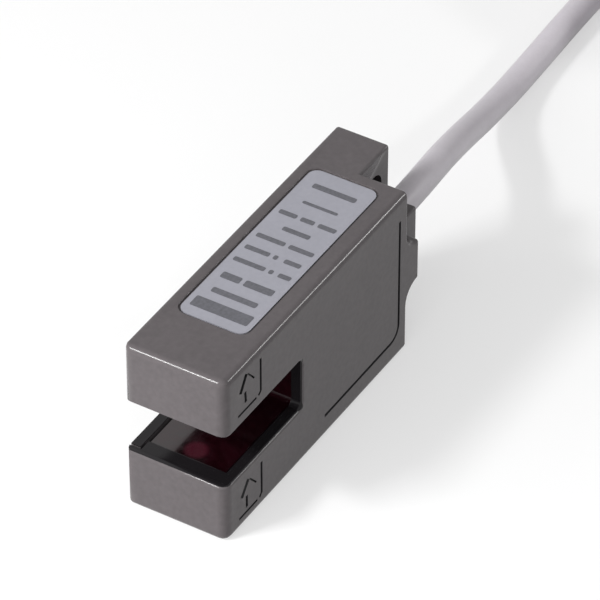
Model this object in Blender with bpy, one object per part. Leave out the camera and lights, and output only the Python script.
"""Fork sensor with a 7 mm slot, its inner parts, and its three-core cable with the spare length in a hank.

Metres, +Z up. The part stands on the narrow lower face of its housing. +X runs from the tips of the
legs to the cable, -Y is the moulded side face, and +Y is the flat back that carries the cover.
"""
import math

import bmesh
import bpy
from mathutils import Matrix, Vector

# Clearance between pieces that touch
GAP = 0.0003

# Housing, outside
BODY_HEIGHT = 0.0230
BODY_THICKNESS = 0.0130
BODY_LENGTH = 0.0388
SLOT_WIDTH = 0.0070
SLOT_DEPTH = 0.0160
SLOT_CORNER = 0.0008
EAR_LENGTH = 0.0062
EAR_THICKNESS = 0.0069
EAR_HOLE_RADIUS = 0.00175
EAR_HOLE_SETBACK = 0.0027
EAR_HOLE_EDGE = 0.0042
BOSS_THICKNESS = 0.0106
BOSS_HEIGHT = 0.0077
RIB_LENGTH = 0.00265
RIB_HEIGHT = 0.0057
RIB_ROOT = 0.0023
RIB_CORNER = 0.0004

# Housing, rounded edges
CORNER_RADIUS = 0.0013
EDGE_RADIUS = 0.0009
BACK_RADIUS = 0.0004
LIP_RADIUS = 0.0004

# Housing, inside
WALL = 0.0015
RIM = 0.0009
RIM_CORNER = 0.0008
COVER_THICKNESS = 0.0012
LEG_TIP_WALL = 0.0025
LIP_WALL = 0.0012

# Infrared filter that lines the slot
FILTER_WALL = 0.0010
FILTER_STEP = 0.0004
FILTER_END_STEP = 0.0007
FILTER_CORNER = 0.0006

# Label: its width, and what it leaves bare in front of it, behind it and at the back
LABEL_WIDTH = 0.0087
LABEL_FRONT = 0.0082
LABEL_REAR = 0.0018
LABEL_BACK = 0.0017
LABEL_THICKNESS = 0.00015
LABEL_RECESS = 0.00025
LABEL_CORNER = 0.0012

# Light beam: emitter and receiver. The lamps fill the room that their legs leave.
BEAM_SETBACK = 0.0043
LAMP_RADIUS = 0.0015
LAMP_FLANGE = 0.00035
LAMP_FLANGE_SHARE = 0.18
LAMP_DOME_SHARE = 0.32
LAMP_LEAD_SPACE = 0.0011
HOLDER_LENGTH = 0.0056
HOLDER_FLOOR = 0.0006
APERTURE_RADIUS = 0.0013
APERTURE_SLIT = 0.0006
APERTURE_SLIT_LENGTH = 0.0024
LEAD_RADIUS = 0.0002
LEAD_BEND = 0.0008
LEAD_LANDING = 0.0022

# Circuit board, from the filter to the room that the cable's cores need
BOARD_THICKNESS = 0.0010
BOARD_CLEARANCE = 0.0003
WIRE_ROOM = 0.0038
POST_RADIUS = 0.0012
POST_EDGE = 0.0018

# What the board carries: sizes along X, Y and Z
AMPLIFIER_SIZE = (0.0030, 0.0015, 0.0030)
TRANSISTOR_SIZE = (0.0029, 0.0011, 0.0013)
TANTALUM_SIZE = (0.0032, 0.0016, 0.0016)
CERAMIC_SIZE = (0.0020, 0.0010, 0.00125)
RESISTOR_SIZE = (0.0016, 0.0005, 0.0008)
DIODE_LENGTH = 0.0027
DIODE_RADIUS = 0.0008
CHIP_LEG_REACH = 0.0009
CHIP_LEG_WIDTH = 0.0004
CHIP_LEG_SHEET = 0.0002
CHIP_LIFT = 0.00015
AMPLIFIER_LEGS = 4
TRANSISTOR_LEGS = 2

# Their places, as shares of the board's half length and half height from its middle
AMPLIFIER_PLACE = (0.0, 0.44)
REGULATOR_PLACE = (0.0, -0.30)
TANTALUM_PLACE = (0.0, -0.58)
CERAMIC_PLACES = ((0.45, 0.09), (0.45, -0.09))
TRANSISTOR_PLACE = (0.0, 0.50)
DIODE_PLACE = (0.0, -0.50)
RESISTOR_PLACES = ((-0.40, 0.30), (-0.40, 0.18), (-0.40, -0.18), (-0.40, -0.30))

# Cable
CABLE_RADIUS = 0.00175
CABLE_HEIGHT = 0.0118
CABLE_MEETS = 0.0015
STUB_INSIDE = 0.0030
FERRULE_LENGTH = 0.0016
FERRULE_WALL = 0.0007
CORE_RADIUS = 0.0005
CORE_RING = 0.00076
CORE_SPREAD = 0.0028
CORE_LANDING = 0.0022

# The cable's way down from the boss: distance behind it, place across and height
CABLE_ROUTE = (
    (0.0020, 0.0000, 0.01180),
    (0.0080, 0.0003, 0.01150),
    (0.0150, 0.0014, 0.01005),
    (0.0230, 0.0032, 0.00700),
    (0.0310, 0.0048, 0.00400),
    (0.0390, 0.0058, 0.00225),
    (0.0470, 0.0063, CABLE_RADIUS),
    (0.0560, 0.0066, CABLE_RADIUS),
)
CABLE_SIDE_REACH = 0.0660

# Hank of the spare cable
HANK_X = 0.1215
HANK_Y = -0.0110
HANK_HALF_RUN = 0.0157
HANK_INNER_BEND = 0.0105
TURN_PITCH = 0.0036
TURNS_WIDE = 3
TURNS_HIGH = 4
TIE_WIDTH = 0.0036
TIE_THICKNESS = 0.0006
TIE_CORNER = 0.0008

# Bare end of the cable, on top of the hank
JACKET_END = 0.0045
LEAD_DROP = 0.0070
LEAD_LENGTH = 0.0185
LEAD_SPREAD = 0.0023
LEAD_LEAN = 0.0020
STRAND_RADIUS = 0.00035
STRAND_LENGTH = 0.0040

# Where the three cores lie in the cable, seen along it
CORE_ANGLES = (math.radians(30), math.radians(150), math.radians(270))
LEAD_ANGLES = (math.radians(210), math.radians(330), math.radians(90))

# Smoothness
ARC_SEGMENTS = 6
BEVEL_SEGMENTS = 4
ROUND_SEGMENTS = 32
SMALL_ROUND_SEGMENTS = 16
FOLD_SEGMENTS = 16
TAIL_SEGMENTS = 10
CURVE_STEPS = 40
CORD_SIDES = 2
SMOOTH_ANGLE = math.radians(32)
FLAT_ANGLE = math.radians(0.5)
ROUNDED_ANGLE = math.radians(30)
SAME_PLACE = 1e-6

# Distance between the points of a cord, in its own radii
CABLE_SPACING = 4
TAIL_SPACING = 2.5
THIN_SPACING = 3
CORE_SPACING = 2

# Plain surfaces: colour, roughness and how metallic each is
SURFACES = {
    "black_moulding": ((0.055, 0.055, 0.058), 0.42, 0.0),
    "infrared_filter_red": ((0.10, 0.008, 0.012), 0.12, 0.0),
    "label_foil": ((0.42, 0.42, 0.46), 0.38, 0.3),
    "emitter_epoxy": ((0.30, 0.34, 0.48), 0.15, 0.0),
    "receiver_epoxy": ((0.03, 0.02, 0.03), 0.15, 0.0),
    "tinned_wire": ((0.62, 0.62, 0.60), 0.3, 0.9),
    "board_green": ((0.02, 0.16, 0.07), 0.45, 0.0),
    "chip_black": ((0.03, 0.03, 0.03), 0.6, 0.0),
    "capacitor_amber": ((0.62, 0.38, 0.06), 0.5, 0.0),
    "capacitor_tan": ((0.45, 0.33, 0.20), 0.5, 0.0),
    "resistor_grey": ((0.20, 0.21, 0.22), 0.5, 0.0),
    "cable_jacket": ((0.45, 0.43, 0.45), 0.5, 0.0),
    "ferrule_steel": ((0.60, 0.60, 0.60), 0.35, 1.0),
    "tie_nylon": ((0.75, 0.74, 0.70), 0.45, 0.0),
    "core_brown": ((0.16, 0.06, 0.025), 0.5, 0.0),
    "core_blue": ((0.02, 0.10, 0.45), 0.5, 0.0),
    "core_black": ((0.02, 0.02, 0.02), 0.5, 0.0),
}

# Places worked out from the sizes
LEG_HEIGHT = (BODY_HEIGHT - SLOT_WIDTH) / 2
SLOT_LOW = LEG_HEIGHT
SLOT_HIGH = LEG_HEIGHT + SLOT_WIDTH
FRONT = -(BODY_LENGTH + EAR_LENGTH) / 2
REAR = -FRONT
BODY_REAR = FRONT + BODY_LENGTH
SLOT_END = FRONT + SLOT_DEPTH
BACK = BODY_THICKNESS / 2
SIDE = -BACK
EAR_FACE = BACK - EAR_THICKNESS
BOSS_FACE = BACK - BOSS_THICKNESS
COVER_INNER = BACK - COVER_THICKNESS
LEDGE = COVER_INNER - GAP
SIDE_INNER = SIDE + WALL
MIDDLE = BODY_HEIGHT / 2
BEAM = FRONT + BEAM_SETBACK
FILTER_FRONT = FRONT + LEG_TIP_WALL + GAP
FILTER_END = SLOT_END + FILTER_END_STEP
FILTER_LOW = SLOT_LOW - FILTER_STEP
FILTER_HIGH = SLOT_HIGH + FILTER_STEP
LAMP_ROOM = FILTER_STEP + FILTER_WALL + GAP + HOLDER_FLOOR + GAP
LAMP_HEIGHT = LEG_HEIGHT - WALL - LAMP_LEAD_SPACE - LAMP_ROOM
CAVITY_REAR = BODY_REAR - WALL
STUB_START = CAVITY_REAR - STUB_INSIDE
BOARD_FRONT = FILTER_END + FILTER_WALL + GAP
BOARD_REAR = STUB_START - WIRE_ROOM
BOARD_LOW = WALL + BOARD_CLEARANCE
BOARD_HIGH = BODY_HEIGHT - BOARD_LOW
BOARD_BACK_FACE = BOARD_THICKNESS / 2
BOARD_SIDE_FACE = -BOARD_THICKNESS / 2
BORE_RADIUS = CABLE_RADIUS + GAP
HANK_INNER = HANK_INNER_BEND - CABLE_RADIUS
HANK_OUTER = HANK_INNER_BEND + (TURNS_WIDE - 1) * TURN_PITCH + CABLE_RADIUS
HANK_HEIGHT = (TURNS_HIGH - 1) * TURN_PITCH + 2 * CABLE_RADIUS
TAIL_BEND = (HANK_INNER + HANK_OUTER) / 2
TAIL_HEIGHT = HANK_HEIGHT + GAP + CABLE_RADIUS


def material(name, colour, roughness, metallic):
    """A plain surface with the piece's own colour."""
    made = bpy.data.materials.new(name)
    made.use_nodes = True
    shader = made.node_tree.nodes["Principled BSDF"]
    shader.inputs["Base Color"].default_value = (*colour, 1.0)
    shader.inputs["Roughness"].default_value = roughness
    shader.inputs["Metallic"].default_value = metallic
    made.diffuse_color = (*colour, 1.0)
    return made


def solid(name, bm, surface):
    """An object in the scene made from a bmesh, smooth on its round faces."""
    bmesh.ops.recalc_face_normals(bm, faces=bm.faces)
    mesh = bpy.data.meshes.new(name)
    bm.to_mesh(mesh)
    bm.free()
    made = bpy.data.objects.new(name, mesh)
    bpy.context.scene.collection.objects.link(made)
    if surface:
        mesh.materials.append(surface)
    mesh.shade_smooth()
    mesh.set_sharp_from_angle(angle=SMOOTH_ANGLE)
    return made


def outline(corners):
    """Points of a closed outline; each corner is (u, v) or (u, v, radius of its arc)."""
    points = []
    for index, corner in enumerate(corners):
        here = Vector(corner[:2])
        radius = corner[2] if len(corner) > 2 else 0.0
        if radius <= 0.0:
            points.append(tuple(here))
            continue
        to_last = (Vector(corners[index - 1][:2]) - here).normalized()
        to_next = (Vector(corners[(index + 1) % len(corners)][:2]) - here).normalized()
        half = to_last.angle(to_next) / 2
        centre = here + (to_last + to_next).normalized() * radius / math.sin(half)
        start = here + to_last * radius / math.tan(half) - centre
        end = here + to_next * radius / math.tan(half) - centre
        first = math.atan2(start.y, start.x)
        sweep = (math.atan2(end.y, end.x) - first + math.pi) % (2 * math.pi) - math.pi
        for step in range(ARC_SEGMENTS + 1):
            angle = first + sweep * step / ARC_SEGMENTS
            points.append((centre.x + radius * math.cos(angle), centre.y + radius * math.sin(angle)))
    return points


def rectangle(low_u, low_v, high_u, high_v, radius=0.0):
    """The outline of a rectangle with equal corners."""
    corners = ((low_u, low_v), (high_u, low_v), (high_u, high_v), (low_u, high_v))
    return outline([(u, v, radius) for u, v in corners])


def grown(corners, by):
    """The corners of a counter-clockwise outline moved outwards, with radii that keep the same centres."""
    moved = []
    for index, (u, v, radius) in enumerate(corners):
        here = Vector((u, v))
        before = (here - Vector(corners[index - 1][:2])).normalized()
        after = (Vector(corners[(index + 1) % len(corners)][:2]) - here).normalized()
        outward = Vector((before.y + after.y, -before.x - after.x)).normalized()
        moved.append((*(here + outward * by / math.cos(before.angle(after) / 2)), radius + by))
    return moved


def extruded(points, axis, low, high):
    """A bmesh prism of a closed outline, drawn across the axis and extruded along it."""
    position = "XYZ".index(axis)
    travel = Vector((0, 0, 0))
    travel[position] = high - low
    bm = bmesh.new()
    face = bm.faces.new([bm.verts.new((*point[:position], low, *point[position:])) for point in points])
    lifted = bmesh.ops.extrude_face_region(bm, geom=[face])
    moved = [item for item in lifted["geom"] if isinstance(item, bmesh.types.BMVert)]
    bmesh.ops.translate(bm, verts=moved, vec=travel)
    return bm


def rod_mesh(radius, start, end, segments=ROUND_SEGMENTS):
    """A bmesh cylinder between two points."""
    start, end = Vector(start), Vector(end)
    turn = (end - start).to_track_quat("Z", "Y").to_matrix().to_4x4()
    bm = bmesh.new()
    bmesh.ops.create_cone(
        bm, cap_ends=True, segments=segments, radius1=radius, radius2=radius, depth=(end - start).length,
        matrix=Matrix.Translation((start + end) / 2) @ turn,
    )
    return bm


def turned_mesh(profile, place, direction, segments=ROUND_SEGMENTS):
    """A bmesh of revolution. The profile is (radius, height) along the direction from the place."""
    bm = bmesh.new()
    verts = [bm.verts.new((radius, 0, height)) for radius, height in profile]
    edges = [bm.edges.new(pair) for pair in zip(verts, verts[1:])]
    if profile[0][0] > 0 or profile[-1][0] > 0:
        edges.append(bm.edges.new((verts[-1], verts[0])))
    bmesh.ops.spin(
        bm, geom=verts + edges, cent=(0, 0, 0), axis=(0, 0, 1), dvec=(0, 0, 0), angle=2 * math.pi,
        steps=segments, use_merge=True, use_duplicate=False,
    )
    bmesh.ops.remove_doubles(bm, verts=bm.verts, dist=SAME_PLACE)
    turn = Vector(direction).to_track_quat("Z", "Y").to_matrix().to_4x4()
    bmesh.ops.transform(bm, matrix=Matrix.Translation(place) @ turn, verts=bm.verts)
    return bm


def evaluated_mesh(made):
    """The object's mesh with its modifiers applied."""
    depsgraph = bpy.context.evaluated_depsgraph_get()
    return bpy.data.meshes.new_from_object(made.evaluated_get(depsgraph), depsgraph=depsgraph)


def applied(made):
    """The object with its modifiers made part of its mesh."""
    old, made.data = made.data, evaluated_mesh(made)
    made.modifiers.clear()
    bpy.data.meshes.remove(old)
    return made


def combined(made, tool, operation):
    """The object after one exact Boolean with a helper solid, which is used up."""
    step = made.modifiers.new("combine", "BOOLEAN")
    step.solver = "EXACT"
    step.operation = operation
    step.object = tool
    applied(made)
    bpy.data.objects.remove(tool)
    return made


def cut(made, bm):
    """The object less the shape in the bmesh."""
    return combined(made, solid("cutter", bm, None), "DIFFERENCE")


def joined(made, bm):
    """The object with the shape in the bmesh added."""
    return combined(made, solid("addition", bm, None), "UNION")


def resmoothed(made):
    """Round faces smooth and sharp edges sharp after the Booleans."""
    made.data.shade_smooth()
    made.data.set_sharp_from_angle(angle=SMOOTH_ANGLE)
    return made


def smooth_route(points, spacing, lowest):
    """Points at about equal spacing on a smooth curve through the route's points, none under the lowest."""
    route = [Vector(p) for p in points]
    ends = [2 * route[0] - route[1]] + route + [2 * route[-1] - route[-2]]
    fine = []
    for before, a, b, after in zip(ends, ends[1:], ends[2:], ends[3:]):
        for step in range(CURVE_STEPS):
            t = step / CURVE_STEPS
            bend = (2 * before - 5 * a + 4 * b - after) * t**2 + (3 * a - before - 3 * b + after) * t**3
            fine.append((2 * a + (b - before) * t + bend) / 2)
    fine.append(route[-1])
    total = sum((q - p).length for p, q in zip(fine, fine[1:]))
    count = max(2, round(total / spacing))
    picked, travelled, wanted = [fine[0]], 0.0, 1
    for p, q in zip(fine, fine[1:]):
        span = (q - p).length
        while wanted < count and travelled + span >= total * wanted / count:
            picked.append(p.lerp(q, (total * wanted / count - travelled) / span))
            wanted += 1
        travelled += span
    return [Vector((p.x, p.y, max(p.z, lowest))) for p in picked + [fine[-1]]]


def tube(name, route, radius, surface, spacing):
    """A round cord as a curve with filled ends. Its points stand the spacing apart, in radii."""
    curve = bpy.data.curves.new(name, "CURVE")
    curve.dimensions = "3D"
    curve.bevel_depth = radius
    curve.bevel_resolution = CORD_SIDES
    curve.use_fill_caps = True
    points = smooth_route(route, spacing * radius, radius)
    spline = curve.splines.new("POLY")
    spline.points.add(len(points) - 1)
    for target, point in zip(spline.points, points):
        target.co = (*point, 1.0)
    curve.materials.append(surface)
    made = bpy.data.objects.new(name, curve)
    bpy.context.scene.collection.objects.link(made)
    return made


def close(a, b):
    """Whether two lengths are the same but for rounding."""
    return abs(a - b) < SAME_PLACE


def edge_radius(edge):
    """How far an edge of the housing is rounded."""
    if len(edge.link_faces) != 2 or not edge.is_convex or edge.calc_face_angle() < ROUNDED_ANGLE:
        return 0.0
    a, b = (vert.co for vert in edge.verts)
    on_front = close(a.x, FRONT) and close(b.x, FRONT)
    on_side = close(a.y, SIDE) and close(b.y, SIDE)
    on_back = close(a.y, BACK) and close(b.y, BACK)
    on_top = close(a.z, b.z) and (close(a.z, BODY_HEIGHT) or close(a.z, 0.0))
    if on_front and (on_side or on_back):
        return CORNER_RADIUS
    if on_top:
        return BACK_RADIUS if on_back else EDGE_RADIUS if on_front or on_side else LIP_RADIUS
    if on_back and a.x < SLOT_END + GAP and b.x < SLOT_END + GAP:
        return 0.0
    return LIP_RADIUS


def round_edges(made):
    """Rounds the housing's edges in one bevel, each by its own weight."""
    bm = bmesh.new()
    bm.from_mesh(made.data)
    bmesh.ops.remove_doubles(bm, verts=bm.verts, dist=SAME_PLACE)
    bmesh.ops.dissolve_limit(bm, angle_limit=FLAT_ANGLE, verts=bm.verts, edges=bm.edges)
    weight = bm.edges.layers.float.new("bevel_weight_edge")
    for edge in bm.edges:
        edge[weight] = edge_radius(edge) / CORNER_RADIUS
    bm.to_mesh(made.data)
    bm.free()
    bevel = made.modifiers.new("rounding", "BEVEL")
    bevel.width = CORNER_RADIUS
    bevel.segments = BEVEL_SEGMENTS
    bevel.limit_method = "WEIGHT"
    bevel.use_clamp_overlap = False
    bevel.miter_outer = "MITER_SHARP"
    return applied(made)


def body_outline():
    """The thick body seen from the side: two legs, the slot, and the rib that stiffens the cable boss."""
    rib_low, rib_high = MIDDLE - RIB_HEIGHT / 2, MIDDLE + RIB_HEIGHT / 2
    rib_rear = BODY_REAR + RIB_LENGTH
    return outline([
        (FRONT, 0.0),
        (BODY_REAR, 0.0),
        (BODY_REAR, rib_low, RIB_ROOT),
        (rib_rear, rib_low, RIB_CORNER),
        (rib_rear, rib_high, RIB_CORNER),
        (BODY_REAR, rib_high, RIB_ROOT),
        (BODY_REAR, BODY_HEIGHT),
        (FRONT, BODY_HEIGHT),
        (FRONT, SLOT_HIGH),
        (SLOT_END, SLOT_HIGH, SLOT_CORNER),
        (SLOT_END, SLOT_LOW, SLOT_CORNER),
        (FRONT, SLOT_LOW),
    ])


def post_places():
    """Where the posts grip the board, in (x, z)."""
    near_rear = BOARD_REAR - POST_RADIUS - GAP
    edge = BOARD_LOW + POST_EDGE
    return [(BOARD_FRONT + POST_RADIUS + GAP, MIDDLE), (near_rear, edge), (near_rear, BODY_HEIGHT - edge)]


def build_housing(surface):
    """One-piece moulded housing: fork, ears, cable boss, and the hollow that opens to the back."""
    overlap = WALL
    housing = solid("housing", extruded(body_outline(), "Y", SIDE, BACK), surface)
    joined(housing, extruded(rectangle(BODY_REAR - overlap, 0.0, REAR, BODY_HEIGHT), "Y", EAR_FACE, BACK))
    boss_low, boss_high = CABLE_HEIGHT - BOSS_HEIGHT / 2, CABLE_HEIGHT + BOSS_HEIGHT / 2
    joined(housing, extruded(rectangle(BODY_REAR - overlap, boss_low, REAR, boss_high), "Y", BOSS_FACE, BACK))
    round_edges(housing)

    recess = rectangle(FRONT + RIM, RIM, BODY_REAR - RIM, BODY_HEIGHT - RIM, RIM_CORNER)
    cut(housing, extruded(recess, "Y", LEDGE, BACK + WALL))
    hollow = outline([
        (FRONT + WALL, WALL),
        (CAVITY_REAR, WALL),
        (CAVITY_REAR, BODY_HEIGHT - WALL),
        (FRONT + WALL, BODY_HEIGHT - WALL),
        (FRONT + WALL, SLOT_HIGH + LIP_WALL),
        (FRONT + LEG_TIP_WALL, SLOT_HIGH + LIP_WALL),
        (FRONT + LEG_TIP_WALL, SLOT_LOW - LIP_WALL),
        (FRONT + WALL, SLOT_LOW - LIP_WALL),
    ])
    cut(housing, extruded(hollow, "Y", SIDE_INNER, BACK))
    for z in (EAR_HOLE_EDGE, BODY_HEIGHT - EAR_HOLE_EDGE):
        x = BODY_REAR + EAR_HOLE_SETBACK
        cut(housing, rod_mesh(EAR_HOLE_RADIUS, (x, SIDE, z), (x, BACK + WALL, z)))
    cut(housing, rod_mesh(BORE_RADIUS, (CAVITY_REAR - WALL, 0, CABLE_HEIGHT), (REAR + WALL, 0, CABLE_HEIGHT)))
    cut(housing, extruded(label_outline(-GAP), "Z", BODY_HEIGHT - LABEL_RECESS, BODY_HEIGHT + WALL))
    for x, z in post_places():
        start, end = (x, SIDE_INNER - overlap / 2, z), (x, BOARD_SIDE_FACE - GAP, z)
        joined(housing, rod_mesh(POST_RADIUS, start, end, SMALL_ROUND_SEGMENTS))
    return resmoothed(housing)


def label_outline(inset):
    """The label seen from above, made smaller all round by the inset."""
    front, rear = FRONT + LABEL_FRONT + inset, BODY_REAR - LABEL_REAR - inset
    side, back = BACK - LABEL_BACK - LABEL_WIDTH + inset, BACK - LABEL_BACK - inset
    return rectangle(front, side, rear, back, LABEL_CORNER - inset)


def build_label(surface):
    """Foil label in its shallow recess on the top face."""
    bottom = BODY_HEIGHT - LABEL_RECESS
    return solid("label_plate", extruded(label_outline(0.0), "Z", bottom, bottom + LABEL_THICKNESS), surface)


def build_cover(surface):
    """Flat cover with the fork's outline, let into the housing's back, with posts that hold the board."""
    inset = RIM + GAP
    points = outline([
        (FRONT + inset, inset, RIM_CORNER),
        (BODY_REAR - inset, inset, RIM_CORNER),
        (BODY_REAR - inset, BODY_HEIGHT - inset, RIM_CORNER),
        (FRONT + inset, BODY_HEIGHT - inset, RIM_CORNER),
        (FRONT + inset, SLOT_HIGH),
        (SLOT_END, SLOT_HIGH, SLOT_CORNER),
        (SLOT_END, SLOT_LOW, SLOT_CORNER),
        (FRONT + inset, SLOT_LOW),
    ])
    cover = solid("back_cover", extruded(points, "Y", COVER_INNER, BACK), surface)
    for x, z in post_places():
        start, end = (x, COVER_INNER + COVER_THICKNESS / 2, z), (x, BOARD_BACK_FACE + GAP, z)
        joined(cover, rod_mesh(POST_RADIUS, start, end, SMALL_ROUND_SEGMENTS))
    return resmoothed(cover)


def build_filter(surface):
    """Dark red infrared filter: one U-shaped channel that lines the legs and the end of the slot."""
    outer_corner = FILTER_CORNER + FILTER_WALL
    points = outline([
        (FILTER_FRONT, FILTER_HIGH),
        (FILTER_END, FILTER_HIGH, FILTER_CORNER),
        (FILTER_END, FILTER_LOW, FILTER_CORNER),
        (FILTER_FRONT, FILTER_LOW),
        (FILTER_FRONT, FILTER_LOW - FILTER_WALL),
        (FILTER_END + FILTER_WALL, FILTER_LOW - FILTER_WALL, outer_corner),
        (FILTER_END + FILTER_WALL, FILTER_HIGH + FILTER_WALL, outer_corner),
        (FILTER_FRONT, FILTER_HIGH + FILTER_WALL),
    ])
    return solid("infrared_filter", extruded(points, "Y", SIDE_INNER + GAP, LEDGE), surface)


def leg_stack(upward):
    """Heights of the pieces in one leg, counted from the filter outwards. upward is 1 or -1."""
    face = FILTER_HIGH + FILTER_WALL if upward > 0 else FILTER_LOW - FILTER_WALL
    holder_near = face + upward * GAP
    lamp_tip = holder_near + upward * (HOLDER_FLOOR + GAP)
    base = lamp_tip + upward * LAMP_HEIGHT
    flange = base - upward * LAMP_HEIGHT * LAMP_FLANGE_SHARE
    return {"holder_near": holder_near, "holder_far": flange - upward * GAP, "base": base}


def build_holder(name, upward, slit, surface):
    """Black moulded block across a leg that holds the emitter or the receiver behind its aperture."""
    stack = leg_stack(upward)
    low, high = sorted((stack["holder_near"], stack["holder_far"]))
    front = FRONT + WALL + GAP
    block = rectangle(front, SIDE_INNER + GAP, front + HOLDER_LENGTH, LEDGE)
    holder = solid(name, extruded(block, "Z", low, high), surface)
    pocket_end = stack["holder_near"] + upward * HOLDER_FLOOR
    past = upward * WALL
    cut(holder, rod_mesh(LAMP_RADIUS + GAP, (BEAM, 0, pocket_end), (BEAM, 0, stack["holder_far"] + past)))
    near, far = sorted((stack["holder_near"] - past, pocket_end + past))
    if slit:
        half_width, half_length = APERTURE_SLIT / 2, APERTURE_SLIT_LENGTH / 2
        opening = rectangle(BEAM - half_width, -half_length, BEAM + half_width, half_length)
        cut(holder, extruded(opening, "Z", near, far))
    else:
        cut(holder, rod_mesh(APERTURE_RADIUS, (BEAM, 0, near), (BEAM, 0, far), SMALL_ROUND_SEGMENTS))
    return resmoothed(holder)


def build_lamp(name, upward, surface):
    """A 3 mm round infrared lamp or phototransistor with a low dome and a flange."""
    flange, dome = LAMP_HEIGHT * LAMP_FLANGE_SHARE, LAMP_HEIGHT * LAMP_DOME_SHARE
    rim = LAMP_RADIUS + LAMP_FLANGE
    profile = [(0.0, 0.0), (rim, 0.0), (rim, flange), (LAMP_RADIUS, flange)]
    for step in range(ARC_SEGMENTS + 1):
        angle = math.pi / 2 * step / ARC_SEGMENTS
        radius = LAMP_RADIUS * math.cos(angle) if step < ARC_SEGMENTS else 0.0
        profile.append((radius, LAMP_HEIGHT - dome + dome * math.sin(angle)))
    place = (BEAM, 0, leg_stack(upward)["base"])
    return solid(name, turned_mesh(profile, place, (0, 0, -upward), ROUND_SEGMENTS), surface)


def build_lamp_leads(prefix, upward, surface):
    """Two wires from the lamp's base to the board, one on each face of the board."""
    offset = BOARD_THICKNESS / 2 + GAP + LEAD_RADIUS
    start = leg_stack(upward)["base"] + upward * GAP
    run = start + upward * 2 * LEAD_RADIUS
    for number, y in enumerate((offset, -offset), 1):
        route = [
            (BEAM, y, start),
            (BEAM + LEAD_RADIUS, y, (start + run) / 2),
            (BEAM + LEAD_BEND, y, run),
            ((BEAM + BOARD_FRONT) / 2, y, run),
            (BOARD_FRONT, y, run),
            (BOARD_FRONT + LEAD_LANDING, y, run),
        ]
        tube(f"{prefix}_lead_{number}", route, LEAD_RADIUS, surface, THIN_SPACING)


def build_board(surface):
    """Glass-fibre board that stands on edge in the body."""
    points = rectangle(BOARD_FRONT, BOARD_LOW, BOARD_REAR, BOARD_HIGH)
    return solid("circuit_board", extruded(points, "Y", BOARD_SIDE_FACE, BOARD_BACK_FACE), surface)


def board_place(shares):
    """The (x, z) place on the board at shares of its half length and half height from its middle."""
    along, up = shares
    x = (BOARD_FRONT + BOARD_REAR) / 2 + along * (BOARD_REAR - BOARD_FRONT) / 2
    return x, MIDDLE + up * (BOARD_HIGH - BOARD_LOW) / 2


def build_chip(name, shares, size, toward, legs, surface):
    """A moulded component with gull-wing legs. size is along X, Y and Z; legs counts those on each Z side."""
    x, z = board_place(shares)
    long, tall, high = size
    face = BOARD_BACK_FACE if toward > 0 else BOARD_SIDE_FACE
    near = face + toward * (GAP + CHIP_LIFT)
    body = rectangle(x - long / 2, z - high / 2, x + long / 2, z + high / 2)
    chip = solid(name, extruded(body, "Y", *sorted((near, near + toward * tall))), surface)
    knee = CHIP_LEG_REACH / 2
    for up in (1, -1):
        edge = z + up * high / 2
        shape = [
            (-CHIP_LEG_SHEET, tall / 2), (knee, tall / 2), (knee, 0.0), (CHIP_LEG_REACH, 0.0),
            (CHIP_LEG_REACH, -CHIP_LEG_SHEET), (knee - CHIP_LEG_SHEET, -CHIP_LEG_SHEET),
            (knee - CHIP_LEG_SHEET, tall / 2 - CHIP_LEG_SHEET), (-CHIP_LEG_SHEET, tall / 2 - CHIP_LEG_SHEET),
        ]
        points = [(near + toward * (v + CHIP_LEG_SHEET - CHIP_LIFT), edge + up * u) for u, v in shape]
        for number in range(legs):
            middle = x + (number - (legs - 1) / 2) * long / legs
            joined(chip, extruded(points, "X", middle - CHIP_LEG_WIDTH / 2, middle + CHIP_LEG_WIDTH / 2))
    return chip


def build_block(name, shares, size, toward, surface):
    """A plain chip component, such as a resistor. size is along X, Y and Z."""
    x, z = board_place(shares)
    long, tall, high = size
    near = (BOARD_BACK_FACE if toward > 0 else BOARD_SIDE_FACE) + toward * GAP
    points = rectangle(x - long / 2, z - high / 2, x + long / 2, z + high / 2)
    return solid(name, extruded(points, "Y", *sorted((near, near + toward * tall))), surface)


def build_components(surfaces):
    """What the board carries: the signal parts on its side face, the output parts on its back face."""
    back, side = 1, -1
    black, grey = surfaces["chip_black"], surfaces["resistor_grey"]
    build_chip("amplifier_chip", AMPLIFIER_PLACE, AMPLIFIER_SIZE, side, AMPLIFIER_LEGS, black)
    build_chip("voltage_regulator", REGULATOR_PLACE, TRANSISTOR_SIZE, side, TRANSISTOR_LEGS, black)
    build_block("tantalum_capacitor", TANTALUM_PLACE, TANTALUM_SIZE, side, surfaces["capacitor_amber"])
    for number, shares in enumerate(CERAMIC_PLACES, 1):
        build_block(f"ceramic_capacitor_{number}", shares, CERAMIC_SIZE, side, surfaces["capacitor_tan"])
    build_chip("output_transistor", TRANSISTOR_PLACE, TRANSISTOR_SIZE, back, TRANSISTOR_LEGS, black)
    for number, shares in enumerate(RESISTOR_PLACES, 1):
        build_block(f"resistor_{number}", shares, RESISTOR_SIZE, back, grey)
    x, z = board_place(DIODE_PLACE)
    y = BOARD_BACK_FACE + GAP + DIODE_RADIUS
    start, end = (x - DIODE_LENGTH / 2, y, z), (x + DIODE_LENGTH / 2, y, z)
    solid("protection_diode", rod_mesh(DIODE_RADIUS, start, end, SMALL_ROUND_SEGMENTS), grey)


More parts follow.
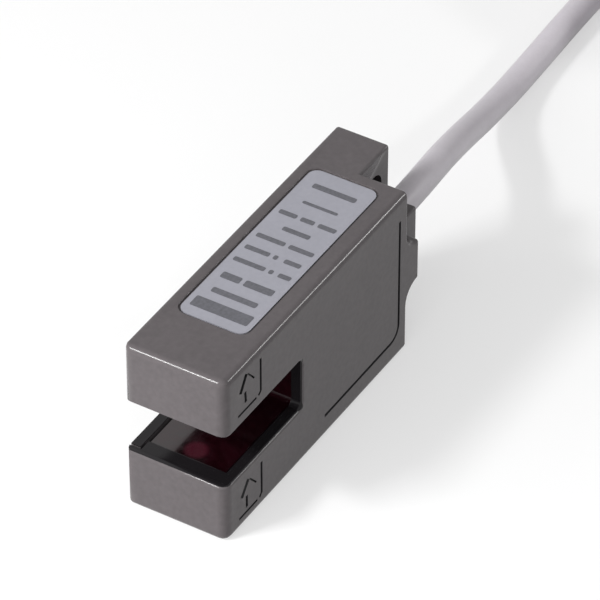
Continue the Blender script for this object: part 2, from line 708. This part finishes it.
def build_cable_entry(jacket, steel, cores):
    """The end of the cable inside the housing: jacket, crimped ferrule and the three cores on the board."""
    stub_end = REAR - CABLE_MEETS - GAP / 2
    stub = rod_mesh(CABLE_RADIUS, (STUB_START, 0, CABLE_HEIGHT), (stub_end, 0, CABLE_HEIGHT))
    solid("cable_inner_end", stub, jacket)
    inner, outer = CABLE_RADIUS + GAP, CABLE_RADIUS + GAP + FERRULE_WALL
    ring = [(inner, 0.0), (outer, 0.0), (outer, FERRULE_LENGTH), (inner, FERRULE_LENGTH)]
    place = (CAVITY_REAR - GAP - FERRULE_LENGTH, 0, CABLE_HEIGHT)
    solid("cable_ferrule", turned_mesh(ring, place, (1, 0, 0)), steel)
    landing = BOARD_BACK_FACE + GAP + CORE_RADIUS
    start = STUB_START - GAP
    reach = start - BOARD_REAR
    for (colour, surface), angle, side in zip(cores.items(), CORE_ANGLES, (1, -1, 0)):
        y0, z0 = CORE_RING * math.sin(angle), CABLE_HEIGHT + CORE_RING * math.cos(angle)
        z1 = MIDDLE + side * CORE_SPREAD
        route = [
            (start, y0, z0),
            (start - reach / 4, y0, z0),
            (start - reach * 5 / 8, (y0 + landing) / 2, (z0 + z1) / 2),
            (BOARD_REAR, landing, z1),
            (BOARD_REAR - CORE_LANDING / 2, landing, z1),
            (BOARD_REAR - CORE_LANDING, landing, z1),
        ]
        tube(f"wire_{colour}", route, CORE_RADIUS, surface, CORE_SPACING)


def hank_arc_reach():
    """How far from the hank's middle a cord that lies along its side comes before it meets the round end."""
    inner_side = HANK_OUTER - 2 * CABLE_RADIUS
    return HANK_HALF_RUN + math.sqrt(HANK_OUTER**2 - inner_side**2) + GAP


def build_cable(jacket):
    """The cable from the boss down to the surface and along it to the hank."""
    side = HANK_Y + HANK_OUTER - CABLE_RADIUS
    end = HANK_X - hank_arc_reach()
    route = [(REAR - CABLE_MEETS + GAP / 2, 0.0, CABLE_HEIGHT)]
    route += [(REAR + behind, across, height) for behind, across, height in CABLE_ROUTE]
    route += [(REAR + CABLE_SIDE_REACH, side, CABLE_RADIUS), (end, side, CABLE_RADIUS)]
    return tube("cable", route, CABLE_RADIUS, jacket, CABLE_SPACING)


def stadium(radius):
    """The outline of a hank in (x, y): two straight runs and two round ends."""
    points = []
    for side in (1, -1):
        for step in range(FOLD_SEGMENTS + 1):
            angle = math.pi / 2 - math.pi * step / FOLD_SEGMENTS
            points.append((
                HANK_X + side * (HANK_HALF_RUN + radius * math.cos(angle)),
                HANK_Y + side * radius * math.sin(angle),
            ))
    return points


def build_hank(jacket):
    """The wound spare length as one ring with straight runs and round ends, notched below for the tie."""
    hank = solid("cable_hank", extruded(stadium(HANK_OUTER), "Z", 0.0, HANK_HEIGHT), jacket)
    cut(hank, extruded(stadium(HANK_INNER), "Z", -WALL, HANK_HEIGHT + WALL))
    half = TIE_WIDTH / 2 + GAP
    notch = rectangle(HANK_X - half, HANK_Y - HANK_OUTER - WALL, HANK_X + half, HANK_Y)
    cut(hank, extruded(notch, "Z", -WALL, TIE_THICKNESS + GAP))
    return resmoothed(hank)


def build_tail(jacket):
    """The cable's last half turn, which lies on top of the hank and runs under the tie."""
    half = HANK_HALF_RUN / 2
    route = [(HANK_X + along, HANK_Y + TAIL_BEND, TAIL_HEIGHT) for along in (-2 * half, -half, 0, half)]
    for step in range(TAIL_SEGMENTS + 1):
        angle = math.pi / 2 - math.pi * step / TAIL_SEGMENTS
        along = HANK_HALF_RUN + TAIL_BEND * math.cos(angle)
        route.append((HANK_X + along, HANK_Y + TAIL_BEND * math.sin(angle), TAIL_HEIGHT))
    route.append((HANK_X + half, HANK_Y - TAIL_BEND, TAIL_HEIGHT))
    route.append((HANK_X - JACKET_END, HANK_Y - TAIL_BEND, TAIL_HEIGHT))
    return tube("cable_tail", route, CABLE_RADIUS, jacket, TAIL_SPACING)


def build_leads(cores, tin):
    """Three cores that come out of the jacket's end and rest on the hank, each with a tinned tip."""
    start = HANK_X - JACKET_END - GAP
    tip_start = start - LEAD_LENGTH - GAP
    middle = HANK_Y - TAIL_BEND
    rest = HANK_HEIGHT + GAP + CORE_RADIUS
    for (colour, surface), angle, place in zip(cores.items(), LEAD_ANGLES, (-1, 1, 0)):
        y0, z0 = middle + CORE_RING * math.cos(angle), TAIL_HEIGHT + CORE_RING * math.sin(angle)
        y1 = middle + LEAD_LEAN + place * LEAD_SPREAD
        across, down = (y1 - y0) / 5, (rest - z0) * 2 / 3
        route = [
            (start, y0, z0),
            (start - LEAD_DROP / 4, y0, z0),
            (start - LEAD_DROP * 2 / 3, y0 + across, z0 + down),
            (start - LEAD_DROP, y0 + 2 * across, rest),
            (start - (LEAD_DROP + LEAD_LENGTH) / 2, y0 + 4 * across, rest),
            (start - LEAD_LENGTH + STRAND_LENGTH / 2, y1, rest),
            (start - LEAD_LENGTH, y1, rest),
        ]
        tube(f"lead_{colour}", route, CORE_RADIUS, surface, THIN_SPACING)
        tip, end = (tip_start, y1, rest), (tip_start - STRAND_LENGTH, y1, rest)
        solid(f"tinned_end_{colour}", rod_mesh(STRAND_RADIUS, tip, end, SMALL_ROUND_SEGMENTS), tin)


def build_tie(nylon):
    """Flat tie round the run of the hank that carries the cable's end."""
    near, far = HANK_Y - HANK_OUTER - GAP, HANK_Y - HANK_INNER + GAP
    middle, half_top = HANK_Y - TAIL_BEND, CABLE_RADIUS / 2
    shoulder, top = HANK_HEIGHT + GAP, TAIL_HEIGHT + CABLE_RADIUS + GAP
    inside = [
        (near, TIE_THICKNESS, TIE_CORNER),
        (far, TIE_THICKNESS, TIE_CORNER),
        (far, shoulder, TIE_CORNER),
        (middle + half_top, top, TIE_CORNER),
        (middle - half_top, top, TIE_CORNER),
        (near, shoulder, TIE_CORNER),
    ]
    band = outline(grown(inside, TIE_THICKNESS))
    tie = solid("cable_tie", extruded(band, "X", HANK_X - TIE_WIDTH / 2, HANK_X + TIE_WIDTH / 2), nylon)
    return resmoothed(cut(tie, extruded(outline(inside), "X", HANK_X - TIE_WIDTH, HANK_X + TIE_WIDTH)))


def remove_everything():
    """Clears the objects that the file holds."""
    for old in list(bpy.data.objects):
        bpy.data.objects.remove(old)


def main():
    """Builds every piece of the sensor."""
    remove_everything()
    surfaces = {name: material(name, *finish) for name, finish in SURFACES.items()}
    black = surfaces["black_moulding"]
    tin = surfaces["tinned_wire"]
    jacket = surfaces["cable_jacket"]
    cores = {colour: surfaces[f"core_{colour}"] for colour in ("brown", "blue", "black")}

    build_housing(black)
    build_cover(black)
    build_filter(surfaces["infrared_filter_red"])
    build_label(surfaces["label_foil"])
    build_holder("emitter_holder", -1, False, black)
    build_holder("receiver_holder", 1, True, black)
    build_lamp("infrared_emitter", -1, surfaces["emitter_epoxy"])
    build_lamp("photo_receiver", 1, surfaces["receiver_epoxy"])
    build_lamp_leads("emitter", -1, tin)
    build_lamp_leads("receiver", 1, tin)
    build_board(surfaces["board_green"])
    build_components(surfaces)
    build_cable_entry(jacket, surfaces["ferrule_steel"], cores)
    build_cable(jacket)
    build_hank(jacket)
    build_tail(jacket)
    build_leads(cores, tin)
    build_tie(surfaces["tie_nylon"])


main()
